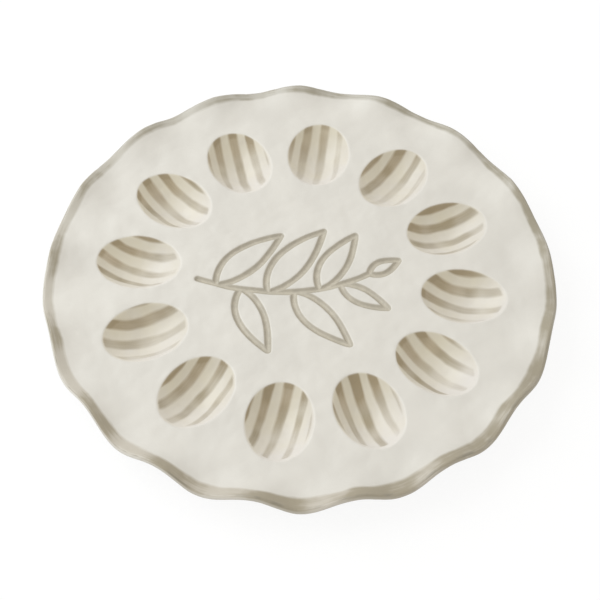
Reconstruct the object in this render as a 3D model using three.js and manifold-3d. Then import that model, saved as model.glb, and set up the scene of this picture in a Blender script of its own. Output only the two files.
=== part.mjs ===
// Ruffled egg tray in glazed stoneware: a flat deck with a ring of egg wells, a waved flange with a
// painted lip, and a foot ring underneath. Millimetres, +Z up, origin on the table under the centre.
import * as THREE from "three";
import { mergeVertices } from "three/addons/utils/BufferGeometryUtils.js";
import Module from "manifold-3d";

// Egg wells, each an oval bowl for half an egg, with its length along the tray's radius
const wellCount = 12;
const wellLength = 50.8; // inside length, under the rounded mouth
const wellWidth = 38.4; // inside width, under the rounded mouth
const wellDepth = 12.5; // from the deck down to the floor of the bowl
const wellFloor = 4.5; // clay under the floor of the bowl
const mouthRound = 2; // width of the rounding from the bowl's wall to the deck
const wellLand = 1; // flat margin of the well round its mouth
const collarDraft = 0.6; // taper of the well's collar where it seats in the deck
const wellWeb = 7.6; // clay between two neighbouring collars, at their middles

// Deck and waved flange
const deckThickness = 6;
const deckMargin = 0.5; // flat deck outside the ring of wells
const flangeWidth = 27.2; // from the flat deck to the outer edge
const flangeRise = 4.53; // mean rise of the flange's top, from the deck to the edge
const flangeFlare = 1.6; // 1 is a straight cone, and more lifts the edge later
const ruffleCount = 17;
const ruffleHeight = 4.17; // how far a crest stands over the mean edge, and a dip lies under it
const ruffleSway = 1.07; // how far the edge bulges out at a dip and draws in at a crest
const ruffleTurn = 12.6; // direction of the first crest, in degrees from +X

// Painted lip round the edge
const bandWidth = 6.5;
const lipThickness = 3.8; // the edge is rounded over this thickness

// Foot ring, bare where it stands
const standClearance = 2.5; // air between the wells and the table
const footWidth = 7; // at the foot's sole, before its corners are rounded
const footFlare = 2; // how far each side of the foot spreads towards the deck
const footRound = 1.2; // rounded corners of the sole
const footInset = 4.5; // between the top of the foot and the inner ends of the wells

// Seam of slip between two pieces of clay
const slipJoint = 0.3;

// Steps of the curved faces
const ovalSteps = 24;
const bowlSteps = 5;
const mouthSteps = 2;
const undersideSteps = 4;
const stepsPerRuffle = 8;
const flangeSteps = 3;
const lipSteps = 5;
const footSteps = 48;

// Sizes that follow from the ones above
const halfTurn = Math.PI;
const mouthDrop = mouthRound / 2; // the rounding leaves the wall at 45 degrees
const collarReach = mouthRound + wellLand;
const collarPitch = wellWidth + 2 * (collarReach + slipJoint) + wellWeb;
const wellRingRadius = collarPitch / (2 * Math.sin(halfTurn / wellCount));
const collarHalfLength = wellLength / 2 + collarReach + slipJoint;
const deckTop = standClearance + wellFloor + wellDepth;
const deckUnderside = deckTop - deckThickness;
const deckRadius = wellRingRadius + collarHalfLength + deckMargin;
const lipRadius = lipThickness / 2;
const lipShare = 1 - lipRadius / flangeWidth;
const bandShare = 1 - bandWidth / flangeWidth;
const seamShare = slipJoint / flangeWidth;
const crestAngle = THREE.MathUtils.degToRad(ruffleTurn);
const ringSteps = ruffleCount * stepsPerRuffle;

// Glazes and bare clay
const whiteGlaze = new THREE.MeshStandardMaterial({ color: 0xe4e0d7, roughness: 0.28, metalness: 0 });
const taupeGlaze = new THREE.MeshStandardMaterial({ color: 0xb3a896, roughness: 0.3, metalness: 0 });
const creamGlaze = new THREE.MeshStandardMaterial({ color: 0xe9e2d3, roughness: 0.26, metalness: 0 });
const bareClay = new THREE.MeshStandardMaterial({ color: 0xcfc3ae, roughness: 0.85, metalness: 0 });

// A skin over rings of equally many points, each ring counter-clockwise from above. The rings run from
// the top outwards and back underneath. Two poles close the ends, and without poles the rings close up.
function skinGeometry(rings, poles) {
  const count = rings[0].length;
  const points = rings.flat();
  const faces = [];
  const strips = poles ? rings.length - 1 : rings.length;
  for (let ring = 0; ring < strips; ring += 1) {
    const near = ring * count;
    const far = ((ring + 1) % rings.length) * count;
    for (let step = 0; step < count; step += 1) {
      const next = (step + 1) % count;
      faces.push(near + step, far + step, far + next);
      faces.push(near + step, far + next, near + next);
    }
  }
  if (poles) {
    const top = points.push(poles[0]) - 1;
    const bottom = points.push(poles[1]) - 1;
    const last = (rings.length - 1) * count;
    for (let step = 0; step < count; step += 1) {
      const next = (step + 1) % count;
      faces.push(top, step, next);
      faces.push(bottom, last + next, last + step);
    }
  }
  const geometry = new THREE.BufferGeometry().setFromPoints(points);
  geometry.setIndex(faces);
  geometry.computeVertexNormals();
  return geometry;
}

// An oval ring of a well, with its length along Y
function ovalRing(halfLength, halfWidth, z) {
  const ring = [];
  for (let step = 0; step < ovalSteps; step += 1) {
    const angle = (2 * halfTurn * step) / ovalSteps;
    ring.push(new THREE.Vector3(halfWidth * Math.cos(angle), halfLength * Math.sin(angle), z));
  }
  return ring;
}

// A ring at an even distance outside the bowl's own oval
function collarRing(reach, z) {
  return ovalRing(wellLength / 2 + reach, wellWidth / 2 + reach, z);
}

// One egg well about the middle of its mouth: a bowl on a parabola, its rounded mouth, the tapered
// collar and the underside on a parabola too
function wellGeometry() {
  const rings = [];
  for (let step = 1; step <= bowlSteps; step += 1) {
    const share = step / bowlSteps;
    const z = -mouthDrop - (wellDepth - mouthDrop) * (1 - share ** 2);
    rings.push(ovalRing((share * wellLength) / 2, (share * wellWidth) / 2, z));
  }
  for (let step = 1; step <= mouthSteps; step += 1) {
    const share = step / mouthSteps;
    rings.push(collarRing(mouthRound * share, -mouthDrop * (1 - share) ** 2));
  }
  rings.push(collarRing(collarReach, 0));
  const seatReach = collarReach - collarDraft;
  for (let step = undersideSteps; step > 0; step -= 1) {
    const share = step / undersideSteps;
    const z = -deckThickness - (wellDepth + wellFloor - deckThickness) * (1 - share ** 2);
    rings.push(ovalRing(share * (wellLength / 2 + seatReach), share * (wellWidth / 2 + seatReach), z));
  }
  const floor = new THREE.Vector3(0, 0, -wellDepth);
  const sole = new THREE.Vector3(0, 0, -wellDepth - wellFloor);
  return skinGeometry(rings, [floor, sole]);
}

// The opening that seats a well's collar, with the seam of slip round it, cut past both faces of the deck
function seatGeometry() {
  const draft = collarDraft / deckThickness;
  const above = deckThickness / 2;
  const below = deckThickness + above;
  const rings = [
    collarRing(collarReach + slipJoint + draft * above, above),
    collarRing(collarReach + slipJoint - draft * below, -below),
  ];
  return skinGeometry(rings, [new THREE.Vector3(0, 0, above), new THREE.Vector3(0, 0, -below)]);
}

// A ring on the waved flange. Share runs from 0 at the flat deck to 1 at the outer edge, and the ring
// may lie outwards of its share and under the flange's top.
function flangeRing(share, outwards, under) {
  const ring = [];
  for (let step = 0; step < ringSteps; step += 1) {
    const angle = (2 * halfTurn * step) / ringSteps;
    const wave = Math.cos(ruffleCount * (angle - crestAngle));
    const radius = deckRadius + flangeWidth * share - ruffleSway * wave * share + outwards;
    const rise = (flangeRise + ruffleHeight * wave) * share ** flangeFlare;
    ring.push(new THREE.Vector3(radius * Math.cos(angle), radius * Math.sin(angle), deckTop + rise - under));
  }
  return ring;
}

// Thickness of the flange, from the deck's down to the lip's
function flangeThickness(share) {
  return THREE.MathUtils.lerp(deckThickness, lipThickness, Math.min(share / lipShare, 1));
}

// The deck and flange before the wells' seats are cut, out to the seam with the lip
function deckBlankGeometry() {
  const rings = [];
  const edgeShare = bandShare - seamShare;
  for (let step = 0; step <= flangeSteps; step += 1) {
    rings.push(flangeRing((edgeShare * step) / flangeSteps, 0, 0));
  }
  for (let step = flangeSteps; step >= 0; step -= 1) {
    const share = (edgeShare * step) / flangeSteps;
    rings.push(flangeRing(share, 0, flangeThickness(share)));
  }
  return skinGeometry(rings, [new THREE.Vector3(0, 0, deckTop), new THREE.Vector3(0, 0, deckUnderside)]);
}

// The rounded lip that carries the painted band
function lipGeometry() {
  const rings = [flangeRing(bandShare, 0, 0)];
  for (let step = 0; step <= lipSteps; step += 1) {
    const angle = halfTurn * (step / lipSteps);
    rings.push(flangeRing(lipShare, lipRadius * Math.sin(angle), lipRadius * (1 - Math.cos(angle))));
  }
  rings.push(flangeRing(bandShare, 0, flangeThickness(bandShare)));
  return skinGeometry(rings, null);
}

// The foot ring, turned about the tray's axis
function footGeometry() {
  const top = deckUnderside - slipJoint;
  const outerTop = wellRingRadius - collarHalfLength - footInset;
  const outer = outerTop - footFlare;
  const inner = outer - footWidth;
  const profile = [
    new THREE.Vector2(inner - footFlare, top),
    new THREE.Vector2(inner, footRound),
    new THREE.Vector2(inner + footRound, 0),
    new THREE.Vector2(outer - footRound, 0),
    new THREE.Vector2(outer, footRound),
    new THREE.Vector2(outerTop, top),
    new THREE.Vector2(inner - footFlare, top),
  ];
  return new THREE.LatheGeometry(profile, footSteps).rotateX(halfTurn / 2);
}

// Solids for cutting, from closed geometry with its shared vertices merged
const wasm = await Module();
wasm.setup();

function solidFrom(geometry) {
  const bare = geometry.clone();
  bare.deleteAttribute("normal");
  bare.deleteAttribute("uv");
  const merged = mergeVertices(bare);
  const vertProperties = new Float32Array(merged.attributes.position.array);
  const triVerts = new Uint32Array(merged.index.array);
  return new wasm.Manifold(new wasm.Mesh({ numProp: 3, vertProperties, triVerts }));
}

function geometryFrom(solid) {
  const mesh = solid.getMesh();
  const geometry = new THREE.BufferGeometry();
  geometry.setAttribute("position", new THREE.BufferAttribute(mesh.vertProperties, mesh.numProp));
  geometry.setIndex(new THREE.BufferAttribute(mesh.triVerts, 1));
  const faceted = geometry.toNonIndexed();
  faceted.computeVertexNormals();
  return faceted;
}

function namedMesh(name, geometry, material) {
  const mesh = new THREE.Mesh(geometry, material);
  mesh.name = name;
  return mesh;
}

// The tray: wells clockwise from +Y, the deck cut to seat them, the lip and the foot
const tray = new THREE.Group();
const wellShape = wellGeometry();
const seatShape = seatGeometry();
let deck = solidFrom(deckBlankGeometry());
for (let well = 0; well < wellCount; well += 1) {
  const turn = (-2 * halfTurn * well) / wellCount;
  const name = `egg_well_${String(well + 1).padStart(2, "0")}`;
  const mesh = namedMesh(name, wellShape, creamGlaze.clone());
  mesh.position.set(-wellRingRadius * Math.sin(turn), wellRingRadius * Math.cos(turn), deckTop);
  mesh.rotation.z = turn;
  mesh.updateMatrix();
  tray.add(mesh);
  deck = deck.subtract(solidFrom(seatShape.clone().applyMatrix4(mesh.matrix)));
}
tray.add(namedMesh("tray_deck", geometryFrom(deck), whiteGlaze));
tray.add(namedMesh("rim_band", lipGeometry(), taupeGlaze));
tray.add(namedMesh("foot_ring", footGeometry(), bareClay));

export default tray;
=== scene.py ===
"""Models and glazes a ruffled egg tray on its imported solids, and lights it in a plain pale studio."""

import math
from collections import namedtuple

import bpy
import numpy as np
from bpy.props import FloatProperty, FloatVectorProperty, IntProperty, PointerProperty
from mathutils import Matrix, Vector
from mathutils.kdtree import KDTree


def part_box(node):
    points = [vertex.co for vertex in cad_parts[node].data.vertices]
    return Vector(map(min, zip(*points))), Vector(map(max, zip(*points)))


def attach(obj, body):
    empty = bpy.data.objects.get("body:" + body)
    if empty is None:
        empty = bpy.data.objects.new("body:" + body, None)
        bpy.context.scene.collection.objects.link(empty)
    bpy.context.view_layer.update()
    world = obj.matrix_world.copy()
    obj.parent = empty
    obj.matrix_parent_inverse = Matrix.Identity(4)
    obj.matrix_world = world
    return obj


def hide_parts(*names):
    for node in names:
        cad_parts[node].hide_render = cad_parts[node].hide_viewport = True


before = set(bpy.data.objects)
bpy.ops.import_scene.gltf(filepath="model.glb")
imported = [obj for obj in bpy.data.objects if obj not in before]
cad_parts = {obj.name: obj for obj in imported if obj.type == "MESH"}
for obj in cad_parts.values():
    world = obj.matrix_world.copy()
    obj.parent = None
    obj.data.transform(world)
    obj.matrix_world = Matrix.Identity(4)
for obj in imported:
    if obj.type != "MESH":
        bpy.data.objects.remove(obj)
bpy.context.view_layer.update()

bl_info = {
    "name": "Ruffled egg tray",
    "version": (1, 0, 0),
    "blender": (4, 5, 0),
    "location": "View3D > Sidebar > Egg tray",
    "description": "Models the tray's deck, rim, wells and foot, and paints their glazes",
    "category": "Add Mesh",
}

BODY = "root"
DECK_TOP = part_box("egg_well_01")[1].z
MILLIMETRE = 0.001
ORIGIN = (0.0, 0.0, 0.0)
WHITE = (1.0, 1.0, 1.0, 1.0)

# Points round each form, chosen so that neighbouring pieces share every point of their seams
RIM_POINTS = 408
SEAT_POINTS = 136
FOOT_POINTS = 160

# Rings of points along each part of a section, and the shares of its width at which a bowl has them
FLANGE_RINGS = 7
LIP_RINGS = 6
NOSE_RINGS = 15
MOUTH_RINGS = 8
BOWL_RINGS = 19
BELLY_RINGS = 13
SOLE_RINGS = 7
BOWL_SPAN = (0.95, 0.05)

# A ring of points as it is added, by half width, half length and height
UNIT_RING = (1.0, 1.0, 0.0)

# Inner and outer radius of the deck's ring that holds the wells, and the cuts from a seat to its edge
RING_INNER = 0.068
RING_OUTER = 0.1385
SEAT_CUTS = 5

# Points nearer than this count as one, in the deck's flat sheet and in a closed piece
SAME_PLACE = 1e-5
DOUBLES = 1e-6

# Edges sharper than this stay sharp
SMOOTH_ANGLE = math.radians(50.0)

# Brush strokes of each well, clockwise from the one on +Y: shift and pitch in mm, lean, fill of the brush
WELL_STROKES = (
    (1.2, 12.1, 0.03, 0.72),
    (2.2, 12.6, 0.03, 1.05),
    (3.8, 13.1, 0.10, 1.03),
    (2.8, 13.1, 0.12, 0.90),
    (1.4, 12.9, 0.10, 0.99),
    (-0.1, 11.6, 0.05, 1.03),
    (1.3, 12.1, 0.18, 1.05),
    (-0.2, 12.1, 0.03, 1.07),
    (-0.2, 13.7, 0.11, 0.87),
    (0.0, 12.4, 0.17, 1.07),
    (-1.2, 12.5, 0.13, 0.90),
    (0.7, 12.1, 0.17, 0.90),
)
WELLS = len(WELL_STROKES)
SLICE = 2.0 * math.pi / WELLS

# Depth in mm that stands for a well's underside, which has no stripes
UNDERSIDE_DEPTH = -9.0

# Sides of the tray for painted shade: the wall of each well towards the first gets stronger, wider,
# browner strokes on warmer cream, the cream darkens towards the second, and the band darkens on ruffle
# slopes rising towards the third
SHADED_WALL_SIDE = Vector((-0.60, 0.80, 0.0))
CREAM_SHADE_SIDE = Vector((0.0, 1.0, 0.0))
BAND_LAMP_SIDE = Vector((-0.96, -0.27, 0.0))

# Place across the lip that stands for its underside, which has no paint
UNDER_LIP = 3.0

# The pressed sprig: its stem from start over a bend to its tip, and each leaf's place along the stem,
# its side, its length and its turn from the stem in degrees
STEM = ((-0.063, -0.008), (0.000, -0.022), (0.0425, 0.0095))
STEM_STEPS = 400
LEAVES = (
    (0.10, 1, 0.054, 66.0),
    (0.23, -1, 0.048, 66.0),
    (0.38, 1, 0.058, 64.0),
    (0.53, -1, 0.050, 60.0),
    (0.68, 1, 0.047, 56.0),
    (0.81, -1, 0.033, 58.0),
)
LEAF_STEPS = 90
LEAF_FULLNESS = 0.34
LEAF_CURL = 0.12
TIP_LENGTH = 0.021
TIP_FULLNESS = 0.44

# How far beside the pressed lines the deck is made finer, in two rounds, the softness of a groove's
# profile and the width of its wash's edge
FINE_REACHES = (0.0045, 0.0010)
GROOVE_SOFT = 0.0003
WASH_EDGE = 0.0006

# The foot ring's sides by share of the flare and depth under its top, and that top's reach into the deck
FOOT_SIDE = ((1.0, 0.0), (0.55, 0.0016), (0.2, 0.0045), (0.0, 0.008))
FOOT_BITE = 0.0005


def setting(name, description, default, **limits):
    """A number that a user may change."""
    return FloatProperty(name=name, description=description, default=default, **limits)


def length(name, description, default):
    """A size in metres."""
    return setting(name, description, default, min=0.0, unit="LENGTH", precision=5)


def turning(name, description, degrees):
    """An angle."""
    return setting(name, description, math.radians(degrees), subtype="ANGLE")


def colour(name, description, default):
    """A linear colour that a user may change."""
    return FloatVectorProperty(
        name=name, description=description, default=default, size=3, min=0.0, max=1.0, subtype="COLOR"
    )


class TraySizes(bpy.types.PropertyGroup):
    """Sizes of the tray: those of the solids, with a flange 0.2 mm narrower to stay inside their box."""

    deck_top: length("Deck height", "The deck's top over the table", DECK_TOP)
    deck_thickness: length("Deck thickness", "Clay of the deck", 0.006)
    deck_radius: length("Deck radius", "Where the flange begins", 0.130815)
    flange_width: length("Flange width", "From the deck's end to the outer edge", 0.0270)
    flange_rise: length("Flange rise", "Mean height of the outer edge over the deck", 0.00453)
    flange_flare: setting("Flange flare", "How late the flange turns up", 1.6, min=1.0, max=4.0)
    ruffle_count: IntProperty(name="Ruffles", description="Waves round the rim", default=17, min=3, max=40)
    ruffle_height: length("Ruffle height", "Rise of a crest over the mean edge", 0.00417)
    ruffle_sway: length("Ruffle sway", "How far a crest draws in", 0.00107)
    ruffle_turn: turning("Ruffle turn", "Angle of the first crest from +X", 12.6)
    band_width: length("Band width", "Width of the painted band", 0.0065)
    lip_thickness: length("Lip thickness", "Clay at the outer edge", 0.0038)
    well_ring: length("Well ring radius", "From the tray's middle to a well's", 0.101615)
    well_width: length("Well width", "Across a well's bowl", 0.0384)
    well_length: length("Well length", "Along a well's bowl", 0.0508)
    well_depth: length("Well depth", "From the deck to a well's lowest point", 0.0125)
    well_floor: length("Well floor", "Clay under a well's lowest point", 0.0045)
    mouth_round: length("Mouth rounding", "Width of the rounding round a well", 0.002)
    well_land: length("Well land", "Flat round the mouth's rounding", 0.001)
    collar_draft: length("Collar draft", "How far a well's collar tapers", 0.0006)
    foot_radius: length("Foot radius", "Outer radius at the table", 0.066415)
    foot_width: length("Foot width", "Width at the table", 0.007)
    foot_flare: length("Foot flare", "How far each side widens at the deck", 0.002)
    foot_round: length("Foot rounding", "Rounding beside the sole", 0.0012)
    unevenness: length("Unevenness", "How far hand-pressed clay dips", 0.0015)
    dip_spacing: length("Dip spacing", "Size of the hand-pressed dips", 0.017)
    groove_width: length("Groove width", "Width of the sprig's lines", 0.0050)
    groove_depth: length("Groove depth", "Depth of the sprig's lines", 0.0016)


class TrayColours(bpy.types.PropertyGroup):
    """Colours of the glazes, the paints and the clay."""

    white_glaze: colour("White glaze", "Deck and flange", (0.788, 0.762, 0.708))
    # Cool and warm cream are mixed at random and, as painted shade, warmer on each well's shaded wall
    cream_glaze: colour("Cream glaze", "Wells, where it is thin", (0.842, 0.806, 0.762))
    warm_cream: colour("Pooled cream", "Wells, where it is thick", (0.866, 0.803, 0.648))
    # Grey tint that darkens the cream as painted shade towards +Y
    cream_shade_tint: colour("Thick cream", "Darkens the cream where the wet glaze ran", (0.82, 0.82, 0.82))
    band_paint: colour("Band paint", "Band, where it is thick", (0.383, 0.341, 0.253))
    band_thin: colour("Thin band paint", "Band, where it is thin", (0.576, 0.538, 0.464))
    band_warm: colour("Warm tint", "Tints the band towards -Y", (1.0, 0.980, 0.960))
    band_cool: colour("Cool tint", "Tints the band towards +Y", (0.964, 0.982, 1.0))
    groove_paint: colour("Groove paint", "Wash in the pressed sprig", (0.575, 0.529, 0.436))
    stripe_paint: colour("Stripe paint", "Wash over the cream", (0.515, 0.466, 0.373))
    # Browner tint of the stripes: painted shade on each well's shaded wall
    stripe_shade_tint: colour("Stripe dab", "Tints a stripe where the brush set down", (0.985, 0.940, 0.900))
    bare_clay: colour("Bare clay", "Unglazed sole", (0.640, 0.560, 0.450))
    white_gloss: setting("White gloss", "Clear coat over the white and the cream", 0.14, subtype="FACTOR")
    band_gloss: setting("Band gloss", "Clear coat over the band's paint", 0.55, subtype="FACTOR")


class StudioSettings(bpy.types.PropertyGroup):
    """Camera, lamp, sky and floor."""

    elevation: turning("Elevation", "Camera over the horizon", 54.682)
    azimuth: turning("Azimuth", "Camera round the tray", 5.781)
    roll: turning("Roll", "Camera's tilt", 1.261)
    distance: length("Distance", "Camera from the deck's middle", 0.8572)
    lens: setting("Lens", "Focal length in mm on a frame 36 mm wide", 82.995, min=1.0)
    shift_x: setting("Shift X", "Sideways shift of the frame", -0.0004)
    shift_y: setting("Shift Y", "Upward shift of the frame", -0.0368)
    lamp_place: FloatVectorProperty(
        name="Lamp place", description="Middle of the lamp", default=(-1.273, 0.224, 1.17), unit="LENGTH"
    )
    lamp_width: length("Lamp width", "Across the lamp", 1.6)
    lamp_height: length("Lamp height", "Along the lamp", 1.3)
    lamp_power: setting("Lamp power", "Power of the lamp", 16.0, subtype="POWER")
    lamp_colour: colour("Lamp colour", "Cool light of the lamp", (0.91, 0.965, 1.0))
    sky_colour: colour("Sky colour", "Warm light all round", (1.0, 0.972, 0.918))
    sky_strength: setting("Sky strength", "Strength of that light", 0.655, min=0.0)
    floor_size: length("Floor size", "Along each side", 8.0)
    floor_colour: colour("Floor", "Floor as it lights the tray", (0.900, 0.900, 0.900))
    floor_shade: colour("Floor shade", "Seen part that takes shadow", (0.145, 0.145, 0.145))
    floor_glow: setting("Floor glow", "Seen part that stays pale", 0.88, min=0.0)


class Amount:
    """A number inside a material, whose arithmetic adds Math nodes."""

    def __init__(self, finish, output):
        self.finish = finish
        self.output = output

    def __add__(self, other):
        return self.finish.math("ADD", self, other)

    __radd__ = __add__

    def __sub__(self, other):
        return self.finish.math("SUBTRACT", self, other)

    def __rsub__(self, other):
        return self.finish.math("SUBTRACT", other, self)

    def __mul__(self, other):
        return self.finish.math("MULTIPLY", self, other)

    __rmul__ = __mul__

    def __truediv__(self, other):
        return self.finish.math("DIVIDE", self, other)

    def __rtruediv__(self, other):
        return self.finish.math("DIVIDE", other, self)


class Finish:
    """The nodes of one procedural material, or of the sky, and the means to write them."""

    def __init__(self, owner):
        owner.use_nodes = True
        self.owner = owner
        self.tree = owner.node_tree
        self.tree.nodes.clear()

    def node(self, kind, settings=None, sockets=None):
        """Adds a node with its settings first, then the values or links of its sockets."""
        node = self.tree.nodes.new(kind)
        for key, value in (settings or {}).items():
            setattr(node, key, value)
        for key, value in (sockets or {}).items():
            if isinstance(value, Amount):
                self.tree.links.new(value.output, node.inputs[key])
            else:
                node.inputs[key].default_value = value
        return node

    def result(self, node, output=0):
        return Amount(self, node.outputs[output])

    def math(self, operation, *values):
        node = self.node("ShaderNodeMath", {"operation": operation}, dict(enumerate(values)))
        return self.result(node)

    def joined(self, x, y, z):
        return self.result(self.node("ShaderNodeCombineXYZ", None, {0: x, 1: y, 2: z}))

    def split(self, vector):
        node = self.node("ShaderNodeSeparateXYZ", None, {0: vector})
        return [self.result(node, axis) for axis in range(3)]

    def place(self):
        """Place on the tray in metres."""
        return self.result(self.node("ShaderNodeTexCoord"), "Object")

    def stored(self, name, output="Vector"):
        """A value kept on the piece's own points."""
        node = self.node("ShaderNodeAttribute", {"attribute_name": name, "attribute_type": "GEOMETRY"})
        return self.result(node, output)

    def noise(self, vector, scale, detail=2.0, roughness=0.5):
        """A cloudy number between 0 and 1."""
        sockets = {"Vector": vector, "Scale": scale, "Detail": detail, "Roughness": roughness}
        return self.result(self.node("ShaderNodeTexNoise", {"noise_dimensions": "3D"}, sockets))

    def scatter(self, vector):
        """One steady random number for each whole vector."""
        settings = {"noise_dimensions": "3D"}
        return self.result(self.node("ShaderNodeTexWhiteNoise", settings, {"Vector": vector}))

    def ease(self, value, low, high):
        """Rises smoothly from 0 at low to 1 at high."""
        settings = {"interpolation_type": "SMOOTHSTEP", "clamp": True}
        sockets = {"Value": value, "From Min": low, "From Max": high}
        return self.result(self.node("ShaderNodeMapRange", settings, sockets))

    def blend(self, share, first, second, way="MIX"):
        """Mixes two colours."""
        settings = {"data_type": "RGBA", "blend_type": way, "clamp_factor": True}
        node = self.node("ShaderNodeMix", settings, {0: share, 6: first, 7: second})
        return self.result(node, 2)

    def bump(self, height, distance, strength):
        sockets = {"Height": height, "Distance": distance, "Strength": strength}
        return self.result(self.node("ShaderNodeBump", None, sockets))

    def glaze(self, base, roughness, coat, normal):
        """Closes the material with a glazed surface."""
        sockets = {
            "Base Color": base,
            "Roughness": roughness,
            "Coat Weight": coat,
            "Coat Roughness": 0.28,
            "Coat IOR": 1.5,
            "Normal": normal,
        }
        shader = self.node("ShaderNodeBsdfPrincipled", None, sockets)
        self.node("ShaderNodeOutputMaterial", None, {"Surface": self.result(shader)})
        return self.owner

    def backdrop(self, unseen, seen, output):
        """Closes the nodes with a shader that lights the tray and one that is seen and reflected."""
        path = self.node("ShaderNodeLightPath")
        kinds = ("Camera", "Glossy", "Transmission")
        camera, gloss, clear = (self.result(path, f"Is {kind} Ray") for kind in kinds)
        choice = self.math("MAXIMUM", self.math("MAXIMUM", camera, gloss), clear)
        sockets = {0: choice, 1: self.result(unseen), 2: self.result(seen)}
        mixed = self.node("ShaderNodeMixShader", None, sockets)
        self.node(output, None, {"Surface": self.result(mixed)})
        return self.owner


# The band's paint, mask, streaks and unevenness, and the direction round the tray
Band = namedtuple("Band", "paint mask streaks hand east north")


def opaque(rgb, share=1.0):
    """A colour value for a socket, made darker or paler by a share."""
    return (rgb[0] * share, rgb[1] * share, rgb[2] * share, 1.0)


def band_share(sizes):
    """Share of the flange's width where the painted band begins."""
    return 1.0 - sizes.band_width / sizes.flange_width


def lip_share(sizes):
    """Share of the flange's width where the rounded lip begins."""
    return 1.0 - 0.5 * sizes.lip_thickness / sizes.flange_width


def rim_place(finish, sizes):
    """Direction round the tray, share of the flange's width, the ruffle's crest, and its slope towards the
    lamp's side for painted shade.
    """
    x, y, _ = finish.split(finish.place())
    radius = finish.math("SQRT", x * x + y * y)
    east, north = x / radius, y / radius
    phase = (finish.math("ARCTAN2", y, x) - sizes.ruffle_turn) * float(sizes.ruffle_count)
    crest = finish.math("COSINE", phase)
    flank = finish.math("SINE", phase)
    share = (radius - sizes.deck_radius) / (sizes.flange_width - sizes.ruffle_sway * crest)

    # how steeply the ruffle's wave rises towards the lamp's side; the band gets painted shade where it
    # does
    outward = sizes.ruffle_height * sizes.flange_flare / sizes.flange_width
    around = sizes.ruffle_height * sizes.ruffle_count / (sizes.deck_radius + sizes.flange_width)
    towards = BAND_LAMP_SIDE.x * east + BAND_LAMP_SIDE.y * north
    beside = BAND_LAMP_SIDE.y * east - BAND_LAMP_SIDE.x * north
    climb = outward * crest * towards - around * flank * beside
    return east, north, share, crest, climb


def white_base(finish, colours):
    """Colour of the white glaze, which pools a little unevenly."""
    cloud = finish.noise(finish.place(), 34.0)
    share = finish.ease(cloud, 0.32, 0.70)
    return finish.blend(share, opaque(colours.white_glaze, 0.97), opaque(colours.white_glaze, 1.02))


def satin_glaze(finish, base, gloss):
    """Closes a material as a fired satin glaze over clay that was rolled out at a slant."""
    place = finish.place()
    slant = {"Vector": place, "Rotation": (0.0, 0.0, math.radians(48.0)), "Scale": (2.2, 1.0, 1.0)}
    rolled = finish.result(finish.node("ShaderNodeMapping", {"vector_type": "TEXTURE"}, slant))
    ridges = finish.noise(rolled, 75.0, 1.0)
    satin = finish.noise(place, 60.0)
    ripple = finish.noise(place, 520.0)
    dimples = finish.noise(place, 150.0, 1.0)
    normal = finish.bump(0.08 * ripple + 0.8 * dimples + 2.1 * ridges, 0.0003, 0.9)
    return finish.glaze(base, 0.44 + 0.10 * satin, gloss, normal)


def painted_gloss(colours, cover):
    """Clear coat where the band's paint covers the white by a share."""
    return colours.white_gloss + (colours.band_gloss - colours.white_gloss) * cover


def brushed_band(finish, sizes, colours):
    """The band's brushed paint, as far as the deck and the lip share it."""
    east, north, share, crest, climb = rim_place(finish, sizes)
    streaks = finish.noise(finish.joined(east * 6.0, north * 6.0, share * 17.0), 1.0, 2.0, 0.6)
    hand = finish.noise(finish.joined(east * 12.0, north * 12.0, share * 2.0), 1.0, 2.0, 0.55)
    wander = finish.noise(finish.joined(east * 5.5, north * 5.5, 0.0), 1.0, 1.0)

    # the inner edge wanders, starts further in towards -Y, and bleeds a little into the white
    start = band_share(sizes) - 0.008 + 0.045 * north - 0.018 * east + 0.05 * north * east
    start = start + 0.14 * (wander - 0.5) + 0.05 * (hand - 0.5)
    mask = finish.ease(share + 0.06 * (streaks - 0.5), start - 0.045, start + 0.045)
    bleed = 0.06 * finish.ease(share, start - 0.24, start)
    mask = mask + bleed * (1.0 - mask)

    # the paint's tone varies at random with the brush; as painted light it is paler towards the lamp at -X
    # and darker on ruffle slopes that face away from the lamp, most on the near left; it is also a little
    # darker on the crests
    run = 1.25 - 0.7 * north - 0.75 * east + 1.2 * north * east
    painted_light = 0.04 * north - 0.10 * east - 0.03 * crest - 0.23 * run * climb
    tone = finish.ease(0.52 * streaks + 0.58 * hand + painted_light, 0.39, 0.71)
    paint = finish.blend(tone, opaque(colours.band_paint), opaque(colours.band_thin))
    tint = finish.blend(0.5 + 0.5 * north, opaque(colours.band_warm), opaque(colours.band_cool))
    paint = finish.blend(1.0, paint, tint, "MULTIPLY")
    return Band(paint, mask, streaks, finish.ease(hand, 0.35, 0.65), east, north)


def deck_finish(sizes, colours):
    """White glaze with the band's brushed inner edge and the painted groove of the sprig."""
    finish = Finish(bpy.data.materials.new("white_glaze"))
    groove, top, press = finish.split(finish.stored("dressing"))
    band = brushed_band(finish, sizes, colours)
    cover = band.mask * top
    base = finish.blend(cover, white_base(finish, colours), band.paint)

    # the wash lies unevenly in the groove, and is darker along its walls
    pale, deep = opaque(colours.groove_paint, 1.07), opaque(colours.groove_paint, 0.93)
    wash = finish.noise(finish.place(), 210.0, 2.0, 0.6)
    filled = finish.blend(finish.ease(wash, 0.3, 0.7), deep, pale)
    sides = 4.0 * press * (1.0 - press)
    filled = finish.blend(0.3 * sides, filled, opaque(colours.groove_paint, 0.58))
    base = finish.blend(groove, base, filled)
    return satin_glaze(finish, base, painted_gloss(colours, cover))


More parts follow.
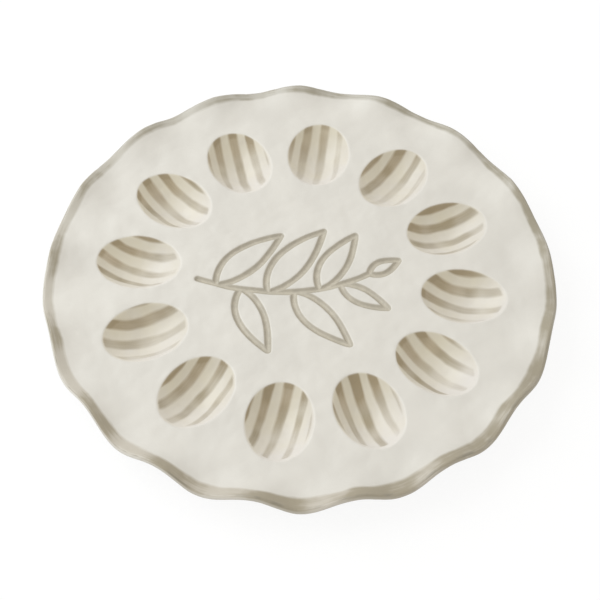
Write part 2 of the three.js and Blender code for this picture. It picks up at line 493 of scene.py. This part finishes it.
def band_finish(sizes, colours):
    """Brushed taupe paint under the glaze, thin on the lip's side and absent underneath."""
    finish = Finish(bpy.data.materials.new("taupe_glaze"))
    base = white_base(finish, colours)
    band = brushed_band(finish, sizes, colours)
    edge = finish.stored("across", "Fac") + 0.22 * (band.streaks - 0.5)

    # past the lip's edge the paint wears thin, and towards -X it is paler still, as painted light where
    # the lip faces the lamp
    thin = finish.blend(0.40 - 0.40 * band.east, band.paint, base)
    paint = finish.blend(finish.ease(edge, 0.30, 0.62), band.paint, thin)

    # a darker line along the lip, which begins further in towards -Y
    near = finish.ease(0.6 * band.east - band.north, 0.55, 1.05)
    begun = finish.ease(edge, 0.14 - 0.45 * near, 0.28 - 0.30 * near)
    ended = finish.ease(edge, 0.32 - 0.08 * near, 0.48 - 0.08 * near)
    line = (0.06 + 0.70 * band.hand * band.hand) * begun * (1.0 - ended)
    paint = finish.blend(line, paint, opaque(colours.band_paint, 0.67))

    cover = band.mask * (1.0 - finish.ease(edge, 1.25, 1.6))
    return satin_glaze(finish, finish.blend(cover, base, paint), painted_gloss(colours, cover))


def well_finish(colours):
    """Cream glaze with brushed stripes along each well, white again on the land round the mouth."""
    finish = Finish(bpy.data.materials.new("striped_glaze"))
    across, along, well = finish.split(finish.stored("stroke"))
    depth = finish.stored("inside", "Fac")
    # each point's share towards the shaded wall, kept as fullness, and towards +Y, kept as thickness, both
    # set painted shade; fill is the well's brush fill
    fullness, thickness, fill = finish.split(finish.stored("fullness"))

    # the cream is warmer at random and, as painted shade, on each well's shaded wall, and a grey tint
    # darkens it as painted shade towards +Y
    cloud = finish.noise(finish.place(), 70.0)
    warmth = 0.5 + 0.6 * fullness + 0.8 * (cloud - 0.5)
    cream = finish.blend(warmth, opaque(colours.cream_glaze), opaque(colours.warm_cream))
    cream = finish.blend(0.5 + 0.6 * thickness, cream, opaque(colours.cream_shade_tint), "MULTIPLY")

    # each stroke sways a little, has its own width, is wider on the shaded wall and leaves the marks of
    # its bristles
    sway = finish.noise(finish.joined(across, along * 0.06, well * 7.3), 1.0, 1.0) - 0.5
    bristle = finish.noise(finish.joined(across * 11.0, along * 0.06, well * 3.1), 1.0, 2.0, 0.65) - 0.5
    shifted = across + 0.22 * sway
    number = finish.math("FLOOR", shifted + 0.5)
    chance = finish.scatter(finish.joined(number, well, 3.0))
    width = 0.238 + 0.05 * (chance - 0.5) + 0.045 * fullness
    offset = finish.math("ABSOLUTE", shifted - number) + 0.09 * bristle
    # strokes reach the mouth on the shaded wall and stop short of it on the wall towards the lamp, as
    # painted light
    end = finish.ease(depth + 0.8 * bristle + 1.9 * fullness, -0.8, 0.8)
    stroke = fill * end * (1.0 - finish.ease(offset, width - 0.12, width + 0.07))

    # its paint is uneven along the way and, as painted shade, stronger on each well's shaded wall, most
    # near the mouth there where the brush set down
    load = finish.noise(finish.joined(number * 5.0, along * 0.06, well * 5.7), 1.0, 1.0)
    load = finish.ease(load, 0.30, 0.70)
    dab = finish.ease(fullness, 0.15, 0.60) * (1.0 - finish.ease(depth, 0.4, 2.6))
    strength = 0.245 + 0.40 * chance + 0.40 * load + 0.31 * fullness + 0.38 * bristle + 0.32 * dab
    striped = finish.blend(stroke * strength, cream, opaque(colours.stripe_paint), "MULTIPLY")
    # stripes on the shaded wall are browner, as painted shade
    shaded_wall_tint = finish.ease(fullness, 0.10, 0.60)
    striped = finish.blend(stroke * shaded_wall_tint, striped, opaque(colours.stripe_shade_tint), "MULTIPLY")

    base = finish.blend(finish.ease(depth, -1.6, -0.3), white_base(finish, colours), striped)
    return satin_glaze(finish, base, colours.white_gloss)


def foot_finish(colours):
    """White glaze wiped off the sole, where the bare clay shows its grain."""
    finish = Finish(bpy.data.materials.new("bare_clay"))
    place = finish.place()
    _, _, height = finish.split(place)
    grain = finish.noise(place, 900.0, 3.0, 0.6)
    speck = finish.ease(finish.noise(place, 1500.0, 1.0), 0.68, 0.74)
    pale, deep = opaque(colours.bare_clay, 1.08), opaque(colours.bare_clay, 0.9)
    clay = finish.blend(finish.ease(grain, 0.3, 0.7), deep, pale)
    clay = finish.blend(0.35 * speck, clay, opaque(colours.bare_clay, 0.5))
    glazed = finish.ease(height + 0.0012 * (finish.noise(place, 90.0) - 0.5), 0.0011, 0.0017)
    base = finish.blend(glazed, clay, white_base(finish, colours))
    normal = finish.bump(grain * (1.0 - 0.85 * glazed), 0.0002, 0.35)
    return finish.glaze(base, 0.82 - 0.44 * glazed, 0.22 * glazed, normal)


def floor_finish(studio):
    """Pale floor that is seen as white and keeps the tray's shadow."""
    finish = Finish(bpy.data.materials.new("studio_floor"))
    grey = finish.node("ShaderNodeBsdfDiffuse", None, {"Color": opaque(studio.floor_colour)})
    glow = finish.node("ShaderNodeEmission", None, {"Color": WHITE, "Strength": studio.floor_glow})
    shade = finish.node("ShaderNodeBsdfDiffuse", None, {"Color": opaque(studio.floor_shade)})
    pale = finish.node("ShaderNodeAddShader", None, {0: finish.result(glow), 1: finish.result(shade)})
    return finish.backdrop(grey, pale, "ShaderNodeOutputMaterial")


def sky_finish(studio):
    """Even warm light all round, which is seen as white."""
    finish = Finish(bpy.data.worlds.new("studio_light"))
    sockets = {"Color": opaque(studio.sky_colour), "Strength": studio.sky_strength}
    warm = finish.node("ShaderNodeBackground", None, sockets)
    white = finish.node("ShaderNodeBackground", None, {"Color": WHITE, "Strength": 1.0})
    return finish.backdrop(warm, white, "ShaderNodeOutputWorld")


def object_mode():
    """Leaves edit mode, so that the mesh can be read."""
    bpy.ops.object.mode_set(mode="OBJECT")


def edit_mode(kind):
    """Enters edit mode, in which edges or faces are picked."""
    bpy.ops.object.mode_set(mode="EDIT")
    bpy.ops.mesh.select_mode(type=kind)


def start_piece(name, round_points):
    """Adds a unit ring of points as a new piece, in edit mode with the ring selected."""
    bpy.ops.object.select_all(action="DESELECT")
    bpy.ops.mesh.primitive_circle_add(vertices=round_points, radius=1.0, location=ORIGIN)
    piece = bpy.context.active_object
    piece.name = name
    piece.data.name = name
    edit_mode("EDGE")
    bpy.ops.mesh.select_all(action="SELECT")
    return piece


def place_ring(old, new):
    """Scales and lifts the selected ring from one (half width, half length, height) to another."""
    size = (new[0] / old[0], new[1] / old[1], 1.0)
    bpy.ops.transform.resize(value=size, center_override=ORIGIN)
    bpy.ops.transform.translate(value=(0.0, 0.0, new[2] - old[2]))


def extrude_rings(rings):
    """Extrudes the selected ring, the first of the list, through the others in order."""
    for old, new in zip(rings, rings[1:]):
        bpy.ops.mesh.extrude_edges_move()
        place_ring(old, new)


def extrude_piece(name, round_points, rings):
    """Adds a new piece and extrudes it through a list of rings."""
    piece = start_piece(name, round_points)
    place_ring(UNIT_RING, rings[0])
    extrude_rings(rings)
    return piece


def points_of(piece):
    """The piece's points as an array."""
    flat = np.empty(len(piece.data.vertices) * 3)
    piece.data.vertices.foreach_get("co", flat)
    return flat.reshape(-1, 3)


def set_points(piece, points):
    """Moves the piece's points to those of an array."""
    piece.data.vertices.foreach_set("co", np.ascontiguousarray(points, dtype=np.float32).ravel())
    piece.data.update()


def plan_radius(points):
    """Distance of each point from the tray's middle, seen from above."""
    return np.hypot(points[:, 0], points[:, 1])


def select_edges(piece, chosen):
    """Selects the edges whose two ends are chosen, and enters edit mode."""
    object_mode()
    mesh = piece.data
    ends = np.empty(len(mesh.edges) * 2, dtype=np.int64)
    mesh.edges.foreach_get("vertices", ends)
    both = chosen[ends.reshape(-1, 2)].all(axis=1)
    mesh.polygons.foreach_set("select", np.zeros(len(mesh.polygons), dtype=bool))
    mesh.edges.foreach_set("select", both)
    mesh.vertices.foreach_set("select", chosen)
    edit_mode("EDGE")


def select_circle(piece, radius):
    """Selects the edges at one distance from the tray's middle, and enters edit mode."""
    object_mode()
    select_edges(piece, np.abs(plan_radius(points_of(piece)) - radius) < SAME_PLACE)


def select_faces(piece, chosen):
    """Selects the faces whose corners are all chosen, and enters edit mode."""
    object_mode()
    mesh = piece.data
    flags = [all(chosen[index] for index in face.vertices) for face in mesh.polygons]
    mesh.vertices.foreach_set("select", np.zeros(len(mesh.vertices), dtype=bool))
    mesh.edges.foreach_set("select", np.zeros(len(mesh.edges), dtype=bool))
    mesh.polygons.foreach_set("select", np.array(flags, dtype=bool))
    edit_mode("FACE")


def close_pole():
    """Draws the selected last ring together into one point."""
    bpy.ops.mesh.merge(type="CENTER")


def turn_faces_out():
    """Merges doubles over the whole mesh, points its faces outwards and leaves edit mode."""
    bpy.ops.mesh.select_all(action="SELECT")
    bpy.ops.mesh.remove_doubles(threshold=DOUBLES)
    bpy.ops.mesh.normals_make_consistent(inside=False)
    object_mode()


def close_section(piece, round_points, rings):
    """Joins a piece's last ring to its first, which closes its section."""
    number = np.arange(len(piece.data.vertices)) // round_points
    select_edges(piece, (number == 0) | (number == rings - 1))
    bpy.ops.mesh.bridge_edge_loops()
    turn_faces_out()


def keep_on_points(piece, name, *columns):
    """Keeps one number, or three as a vector, on each point for the materials."""
    kind, field = ("FLOAT", "value") if len(columns) == 1 else ("FLOAT_VECTOR", "vector")
    layer = piece.data.attributes.new(name, kind, "POINT")
    values = np.stack(np.broadcast_arrays(*columns), axis=1)
    layer.data.foreach_set(field, np.ascontiguousarray(values, dtype=np.float32).ravel())


def press_by_hand(piece, sizes):
    """Lets the surface dip as hand-pressed clay does, the same at the same place on every piece."""
    texture = bpy.data.textures.get("hand_pressed") or bpy.data.textures.new("hand_pressed", "CLOUDS")
    texture.noise_scale = sizes.dip_spacing
    texture.noise_depth = 2
    dips = piece.modifiers.new("hand_pressed", "DISPLACE")
    dips.texture = texture
    dips.texture_coords = "LOCAL"
    dips.direction = "Z"
    dips.mid_level = 1.0
    dips.strength = sizes.unevenness
    bpy.ops.object.modifier_apply(modifier=dips.name)


def finish_piece(piece, node, material):
    """Smooths the piece, gives it its glaze and sets it on the tray's body."""
    bpy.ops.object.shade_smooth_by_angle(angle=SMOOTH_ANGLE)
    piece.data.materials.clear()
    piece.data.materials.append(material)
    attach(piece, BODY)
    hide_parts(node)


def flange_radius(sizes, share):
    """Plain radius at a share of the flange's width."""
    return sizes.deck_radius + sizes.flange_width * share


def flange_thickness(sizes, share):
    """Clay at a share of the flange's width: the deck's at 0, the lip's from the lip on."""
    slide = np.minimum(share / lip_share(sizes), 1.0)
    return sizes.deck_thickness + (sizes.lip_thickness - sizes.deck_thickness) * slide


def ruffle(sizes, points, under):
    """Waves a plain profile: points lie at their plain radius, and under is their depth below the top."""
    radius = plan_radius(points)
    angle = np.arctan2(points[:, 1], points[:, 0])
    share = np.clip((radius - sizes.deck_radius) / sizes.flange_width, 0.0, lip_share(sizes))
    wave = np.cos(sizes.ruffle_count * (angle - sizes.ruffle_turn))
    new_radius = radius - sizes.ruffle_sway * wave * share
    lift = (sizes.flange_rise + sizes.ruffle_height * wave) * share**sizes.flange_flare
    scale = new_radius / np.maximum(radius, 1e-9)
    height = sizes.deck_top + lift - under
    return np.stack([points[:, 0] * scale, points[:, 1] * scale, height], axis=1)


def seat_halves(sizes, draft=0.0):
    """Half width and half length of the seat that holds a well."""
    reach = sizes.mouth_round + sizes.well_land - draft
    return sizes.well_width / 2 + reach, sizes.well_length / 2 + reach


def share_outline(ring):
    """Lays a unit ring of points out along the edge of one well's share of the deck, that on +Y."""
    corner = np.arctan2(ring[:, 0], ring[:, 1]) / (math.pi / 4)
    far = np.abs(corner)
    climb = np.clip(2.0 - far, -1.0, 1.0)
    swing = np.sign(corner) * np.minimum(np.minimum(far, 1.0), 4.0 - far)
    radius = RING_INNER + (RING_OUTER - RING_INNER) * (climb + 1.0) / 2
    angle = swing * SLICE / 2
    return np.stack([radius * np.sin(angle), radius * np.cos(angle)], axis=1)


def deck_sheet(sizes):
    """Models the deck and flange as a flat sheet with an oval opening for each well, in edit mode."""
    # the seat of the well on +Y, and round it the outline of that well's share, from a second ring
    piece = start_piece("tray_deck.glazed", SEAT_POINTS)
    place_ring(UNIT_RING, (*seat_halves(sizes), 0.0))
    bpy.ops.transform.translate(value=(0.0, sizes.well_ring, 0.0))
    bpy.ops.mesh.primitive_circle_add(vertices=SEAT_POINTS, radius=1.0, location=ORIGIN)
    object_mode()
    points = points_of(piece)
    points[SEAT_POINTS:, :2] = share_outline(points[SEAT_POINTS:])
    set_points(piece, points)
    select_edges(piece, np.ones(len(points), dtype=bool))
    bpy.ops.mesh.bridge_edge_loops(number_cuts=SEAT_CUTS, interpolation="LINEAR")

    # twelve such shares make the ring, and the middle and the flange are added to it
    bpy.ops.mesh.select_all(action="SELECT")
    rest = WELLS - 1
    bpy.ops.mesh.spin(steps=rest, dupli=True, angle=SLICE * rest, center=ORIGIN, axis=(0.0, 0.0, 1.0))
    bpy.ops.mesh.select_all(action="SELECT")
    bpy.ops.mesh.remove_doubles(threshold=SAME_PLACE)
    select_circle(piece, RING_INNER)
    bpy.ops.mesh.fill_grid(span=RIM_POINTS // 4)
    select_circle(piece, RING_OUTER)
    edge = flange_radius(sizes, band_share(sizes))
    extrude_rings([(radius, radius, 0.0) for radius in np.linspace(RING_OUTER, edge, FLANGE_RINGS)])
    return piece


def refine_beside(piece, lines, reach):
    """Makes the middle of the sheet's top finer within reach of the lines."""
    points = points_of(piece)
    near = (plan_radius(points) < RING_INNER + SAME_PLACE) & (points[:, 2] > -SAME_PLACE)
    near[near] = distance_to_lines(points[near, :2], lines) < reach
    select_faces(piece, near)
    bpy.ops.mesh.subdivide(number_cuts=1)
    object_mode()


def taper_seats(sizes, points, low):
    """Draws the lower edge of each seat in, as the collar of its well tapers."""
    half_width, half_length = seat_halves(sizes)
    low_width, low_length = seat_halves(sizes, sizes.collar_draft)
    for number in range(WELLS):
        turn = -SLICE * number
        out = np.array([-math.sin(turn), math.cos(turn)])
        side = np.array([math.cos(turn), math.sin(turn)])
        local = points[:, :2] - sizes.well_ring * out
        x, y = local @ side, local @ out
        wall = low & (np.abs((x / half_width) ** 2 + (y / half_length) ** 2 - 1.0) < 1e-3)
        tapered = np.outer(x * low_width / half_width, side) + np.outer(y * low_length / half_length, out)
        points[wall, :2] = (sizes.well_ring * out + tapered)[wall]


def bent_line(start, middle, end, steps):
    """A line that bends once, from start to end, pulled towards middle."""
    share = np.linspace(0.0, 1.0, steps)[:, None]
    start, middle, end = (np.array(point) for point in (start, middle, end))
    return (1 - share) ** 2 * start + 2 * share * (1 - share) * middle + share**2 * end


def leaf_outline(base, heading, size, fullness, curl):
    """The closed outline of a pointed leaf that grows from base in a heading and curls a little."""
    share = np.concatenate([np.linspace(0.0, 1.0, LEAF_STEPS), np.linspace(1.0, 0.0, LEAF_STEPS)])
    side = np.concatenate([np.ones(LEAF_STEPS), -np.ones(LEAF_STEPS)])
    spread = side * 0.5 * fullness * size * np.sin(np.pi * share**0.82) ** 0.9
    spread = spread + curl * size * share**2
    along = share * size
    ahead = np.array([math.cos(heading), math.sin(heading)])
    aside = np.array([-math.sin(heading), math.cos(heading)])
    return np.array(base) + along[:, None] * ahead + spread[:, None] * aside


def sprig_lines():
    """The lines of the pressed sprig: a bent stem, leaves on both sides and one at the tip."""
    stem = bent_line(*STEM, STEM_STEPS)
    lines = [stem]
    for share, side, size, turn in LEAVES:
        index = int(share * (len(stem) - 1))
        ahead = stem[index + 1] - stem[index]
        heading = math.atan2(ahead[1], ahead[0]) + side * math.radians(turn)
        lines.append(leaf_outline(stem[index], heading, size, LEAF_FULLNESS, -LEAF_CURL * side))
    ahead = stem[-1] - stem[-2]
    heading = math.atan2(ahead[1], ahead[0])
    lines.append(leaf_outline(stem[-1], heading, TIP_LENGTH, TIP_FULLNESS, 0.0))
    return lines


def distance_to_lines(points, lines):
    """Distance of each point in the plane to the nearest of the lines."""
    spots = np.concatenate(lines)
    tree = KDTree(len(spots))
    for index, spot in enumerate(spots):
        tree.insert((spot[0], spot[1], 0.0), index)
    tree.balance()
    return np.array([tree.find((point[0], point[1], 0.0))[2] for point in points])


def eased(value, low, high):
    """Rises smoothly from 0 at low to 1 at high."""
    share = np.clip((value - low) / (high - low), 0.0, 1.0)
    return share * share * (3.0 - 2.0 * share)


class EGGTRAY_OT_deck(bpy.types.Operator):
    """Models the deck and its flange, with a seat for each well and the pressed sprig"""

    bl_idname = "eggtray.deck"
    bl_label = "Model the deck"

    def execute(self, context):
        sizes = context.scene.tray_sizes
        half = sizes.groove_width / 2
        lines = sprig_lines()

        # the sheet gets its thickness, and a finer top beside the pressed lines
        piece = deck_sheet(sizes)
        bpy.ops.mesh.select_all(action="SELECT")
        down = {"value": (0.0, 0.0, -sizes.deck_thickness)}
        bpy.ops.mesh.extrude_region_move(TRANSFORM_OT_translate=down)
        turn_faces_out()
        for reach in FINE_REACHES:
            refine_beside(piece, lines, half + reach)

        # seats taper downwards, and the flange waves and thins
        points = points_of(piece)
        top = points[:, 2] > -0.5 * sizes.deck_thickness
        taper_seats(sizes, points, ~top)
        radius = plan_radius(points)
        share = np.clip((radius - sizes.deck_radius) / sizes.flange_width, 0.0, 1.0)
        points = ruffle(sizes, points, np.where(top, 0.0, flange_thickness(sizes, share)))

        # the sprig is pressed into the middle of the top, and what lies outside that counts as far away
        middle = top & (radius < RING_INNER - MILLIMETRE)
        distance = np.full(len(points), sizes.deck_radius)
        distance[middle] = distance_to_lines(points[middle, :2], lines)
        press = 1.0 - eased(distance, GROOVE_SOFT, half + GROOVE_SOFT)
        painted = 1.0 - eased(distance, half - WASH_EDGE, half)
        points[:, 2] -= sizes.groove_depth * press
        set_points(piece, points)
        keep_on_points(piece, "dressing", painted, top, press)
        press_by_hand(piece, sizes)
        finish_piece(piece, "tray_deck", deck_finish(sizes, context.scene.tray_colours))
        return {"FINISHED"}


def lip_section(sizes):
    """The lip's section, over the top from its inner edge, round the nose and back underneath.

    Each step is (radius, depth under the top, place across the lip): -1 inside, 0 to 1 on the nose's top.
    """
    begin, end = band_share(sizes), lip_share(sizes)
    nose = sizes.lip_thickness / 2
    shares = np.linspace(begin, end, LIP_RINGS)
    section = []
    for share in shares:
        section.append((flange_radius(sizes, share), 0.0, (share - begin) / (end - begin) - 1.0))
    for turn in np.linspace(0.0, math.pi, NOSE_RINGS)[1:]:
        radius = flange_radius(sizes, end) + nose * math.sin(turn)
        section.append((radius, nose * (1.0 - math.cos(turn)), turn / (math.pi / 2)))
    for share in shares[-2::-1]:
        section.append((flange_radius(sizes, share), float(flange_thickness(sizes, share)), UNDER_LIP))
    return section


class EGGTRAY_OT_rim_band(bpy.types.Operator):
    """Models the rounded lip that carries the painted band"""

    bl_idname = "eggtray.rim_band"
    bl_label = "Model the rim band"

    def execute(self, context):
        sizes = context.scene.tray_sizes
        section = lip_section(sizes)
        rings = [(radius, radius, -depth) for radius, depth, _ in section]
        piece = extrude_piece("rim_band.glazed", RIM_POINTS, rings)
        object_mode()
        points = points_of(piece)
        set_points(piece, ruffle(sizes, points, -points[:, 2]))
        keep_on_points(piece, "across", np.repeat([place for _, _, place in section], RIM_POINTS))
        close_section(piece, RIM_POINTS, len(rings))
        press_by_hand(piece, sizes)
        finish_piece(piece, "rim_band", band_finish(sizes, context.scene.tray_colours))
        return {"FINISHED"}


def well_rings(sizes):
    """Rings of one well: from the land into the bowl, and from the land down the collar and underside."""
    half_width, half_length = sizes.well_width / 2, sizes.well_length / 2
    shoulder = sizes.mouth_round / 2
    bowl = sizes.well_depth - shoulder
    wide, long = seat_halves(sizes)
    inner = [(wide, long, 0.0)]
    for step in np.linspace(1.0, 0.0, MOUTH_RINGS):
        reach = sizes.mouth_round * step
        inner.append((half_width + reach, half_length + reach, -shoulder * (1.0 - step) ** 2))
    for step in np.linspace(*BOWL_SPAN, BOWL_RINGS):
        inner.append((half_width * step, half_length * step, -shoulder - bowl * (1.0 - step**2)))
    low_wide, low_long = seat_halves(sizes, sizes.collar_draft)
    belly = sizes.well_depth + sizes.well_floor - sizes.deck_thickness
    outer = [(wide, long, 0.0), (low_wide, low_long, -sizes.deck_thickness)]
    for step in np.linspace(*BOWL_SPAN, BELLY_RINGS):
        depth = sizes.deck_thickness + belly * (1.0 - step**2)
        outer.append((low_wide * step, low_long * step, -depth))
    return inner, outer


def bowl_places(sizes, points):
    """How far inside the bowl's edge a well's points lie, and their place along its curve, in mm."""
    half_width = sizes.well_width / 2 / MILLIMETRE
    half_length = sizes.well_length / 2 / MILLIMETRE
    depth = sizes.well_depth / MILLIMETRE
    x, y, z = points.T
    oval = np.hypot(x / half_width, y / half_length)
    reach = (oval - 1.0) * np.hypot(x, y) / np.maximum(oval, 1e-6)
    # what lies well below the bowl's own curve is the underside
    underside = z < -(depth + 1.0) * np.maximum(1.0 - oval**2, 0.0) - 1.5
    inside = np.where(underside, UNDERSIDE_DEPTH, -reach)
    curve = 2.0 * (depth - sizes.mouth_round / 2 / MILLIMETRE) / half_width**2
    bent = (x * np.sqrt(1.0 + (curve * x) ** 2) + np.arcsinh(curve * x) / curve) / 2.0
    return inside, bent


class EGGTRAY_OT_egg_wells(bpy.types.Operator):
    """Models one egg well and sets twelve of them round the deck"""

    bl_idname = "eggtray.egg_wells"
    bl_label = "Model the egg wells"

    def execute(self, context):
        sizes = context.scene.tray_sizes
        glaze = well_finish(context.scene.tray_colours)
        inner, outer = well_rings(sizes)
        pattern = extrude_piece("egg_well", SEAT_POINTS, inner)
        close_pole()
        object_mode()
        select_edges(pattern, np.arange(len(pattern.data.vertices)) < SEAT_POINTS)
        extrude_rings(outer)
        close_pole()
        turn_faces_out()

        points = points_of(pattern) / MILLIMETRE
        x, y, _ = points.T
        inside, bent = bowl_places(sizes, points)
        keep_on_points(pattern, "inside", inside)
        for number, (shift, pitch, lean, fill) in enumerate(WELL_STROKES):
            node = f"egg_well_{number + 1:02d}"
            well = pattern.copy()
            well.data = pattern.data.copy()
            well.name = f"{node}.glazed"
            well.data.name = well.name
            context.collection.objects.link(well)
            bpy.ops.object.select_all(action="DESELECT")
            well.select_set(True)
            context.view_layer.objects.active = well
            turn = Matrix.Rotation(-SLICE * number, 4, "Z")

            # where the strokes run, each part of the bowl's share towards the sides that get painted
            # shade, and the brush's fill
            keep_on_points(well, "stroke", (bent - lean * y - shift) / pitch, y, number + 1.0)
            sides = [turn.inverted() @ side for side in (SHADED_WALL_SIDE, CREAM_SHADE_SIDE)]
            shares = [(x * side.x + y * side.y) * MILLIMETRE / (sizes.well_length / 2) for side in sides]
            keep_on_points(well, "fullness", *shares, fill)

            spot = turn @ Vector((0.0, sizes.well_ring, 0.0))
            spot.z = sizes.deck_top
            well.data.transform(Matrix.Translation(spot) @ turn)
            press_by_hand(well, sizes)
            finish_piece(well, node, glaze)
        bpy.data.objects.remove(pattern)
        return {"FINISHED"}


class EGGTRAY_OT_foot_ring(bpy.types.Operator):
    """Models the foot ring with its wiped sole"""

    bl_idname = "eggtray.foot_ring"
    bl_label = "Model the foot ring"

    def execute(self, context):
        sizes = context.scene.tray_sizes
        top = sizes.deck_top - sizes.deck_thickness + FOOT_BITE
        outer, inner = sizes.foot_radius, sizes.foot_radius - sizes.foot_width
        flare, rounding = sizes.foot_flare, sizes.foot_round

        # the section as (radius, height), down the outside, along the sole and up the inside
        turns = np.linspace(0.0, math.pi / 2, SOLE_RINGS)
        curve = [(rounding * (1.0 - math.cos(turn)), rounding * (1.0 - math.sin(turn))) for turn in turns]
        section = [(outer + flare * share, top - depth) for share, depth in FOOT_SIDE]
        section += [(outer - reach, height) for reach, height in curve]
        section += [(inner + reach, height) for reach, height in reversed(curve)]
        section += [(inner - flare * share, top - depth) for share, depth in reversed(FOOT_SIDE)]
        rings = [(radius, radius, height) for radius, height in section]
        piece = extrude_piece("foot_ring.glazed", FOOT_POINTS, rings)
        object_mode()
        close_section(piece, FOOT_POINTS, len(rings))
        finish_piece(piece, "foot_ring", foot_finish(context.scene.tray_colours))
        return {"FINISHED"}


def add_lamp(context, studio, target):
    """Adds the large soft lamp, turned to the tray."""
    light = bpy.data.lights.new("key_lamp", "AREA")
    light.shape = "RECTANGLE"
    light.size = studio.lamp_width
    light.size_y = studio.lamp_height
    light.energy = studio.lamp_power
    light.color = studio.lamp_colour
    lamp = bpy.data.objects.new("key_lamp", light)
    context.collection.objects.link(lamp)
    lamp.location = studio.lamp_place
    lamp.rotation_mode = "QUATERNION"
    lamp.rotation_quaternion = (target - lamp.location).to_track_quat("-Z", "Y")


def add_camera(context, studio, target):
    """Adds the camera, which looks at the middle of the deck."""
    lens = bpy.data.cameras.new("camera")
    lens.lens = studio.lens
    lens.shift_x = studio.shift_x
    lens.shift_y = studio.shift_y
    lens.clip_start = 0.01
    camera = bpy.data.objects.new("camera", lens)
    context.collection.objects.link(camera)
    aim = Matrix.Rotation(studio.azimuth, 4, "Z")
    aim = aim @ Matrix.Rotation(math.pi / 2 - studio.elevation, 4, "X")
    aim = aim @ Matrix.Rotation(studio.roll, 4, "Z")
    back = Matrix.Translation((0.0, 0.0, studio.distance))
    camera.matrix_world = Matrix.Translation(target) @ aim @ back
    context.scene.camera = camera


class EGGTRAY_OT_studio(bpy.types.Operator):
    """Sets up the pale floor, the soft light and the camera"""

    bl_idname = "eggtray.studio"
    bl_label = "Set up the studio"

    def execute(self, context):
        scene = context.scene
        studio = scene.tray_studio
        scene.view_settings.view_transform = "Standard"
        bpy.ops.object.select_all(action="DESELECT")
        bpy.ops.mesh.primitive_plane_add(size=studio.floor_size, location=ORIGIN)
        floor = context.active_object
        floor.name = "studio_floor"
        floor.data.materials.append(floor_finish(studio))
        scene.world = sky_finish(studio)
        target = Vector((0.0, 0.0, scene.tray_sizes.deck_top))
        add_lamp(context, studio, target)
        add_camera(context, studio, target)
        return {"FINISHED"}


class EGGTRAY_PT_sidebar(bpy.types.Panel):
    """Sizes, colours and steps of the tray"""

    bl_idname = "EGGTRAY_PT_sidebar"
    bl_label = "Egg tray"
    bl_space_type = "VIEW_3D"
    bl_region_type = "UI"
    bl_category = "Egg tray"

    def draw(self, context):
        scene = context.scene
        for group in (scene.tray_sizes, scene.tray_colours, scene.tray_studio):
            box = self.layout.box()
            for name in group.__annotations__:
                box.prop(group, name)
        for step in STEPS:
            self.layout.operator(step.bl_idname)


GROUPS = (TraySizes, TrayColours, StudioSettings)
STEPS = (
    EGGTRAY_OT_studio,
    EGGTRAY_OT_deck,
    EGGTRAY_OT_rim_band,
    EGGTRAY_OT_egg_wells,
    EGGTRAY_OT_foot_ring,
)
CLASSES = (*GROUPS, *STEPS, EGGTRAY_PT_sidebar)


def register():
    for item in CLASSES:
        bpy.utils.register_class(item)
    bpy.types.Scene.tray_sizes = PointerProperty(type=TraySizes)
    bpy.types.Scene.tray_colours = PointerProperty(type=TrayColours)
    bpy.types.Scene.tray_studio = PointerProperty(type=StudioSettings)


def unregister():
    del bpy.types.Scene.tray_studio
    del bpy.types.Scene.tray_colours
    del bpy.types.Scene.tray_sizes
    for item in reversed(CLASSES):
        bpy.utils.unregister_class(item)


def main():
    register()
    bpy.ops.eggtray.studio()
    bpy.ops.eggtray.deck()
    bpy.ops.eggtray.rim_band()
    bpy.ops.eggtray.egg_wells()
    bpy.ops.eggtray.foot_ring()


if __name__ == "__main__":
    main()
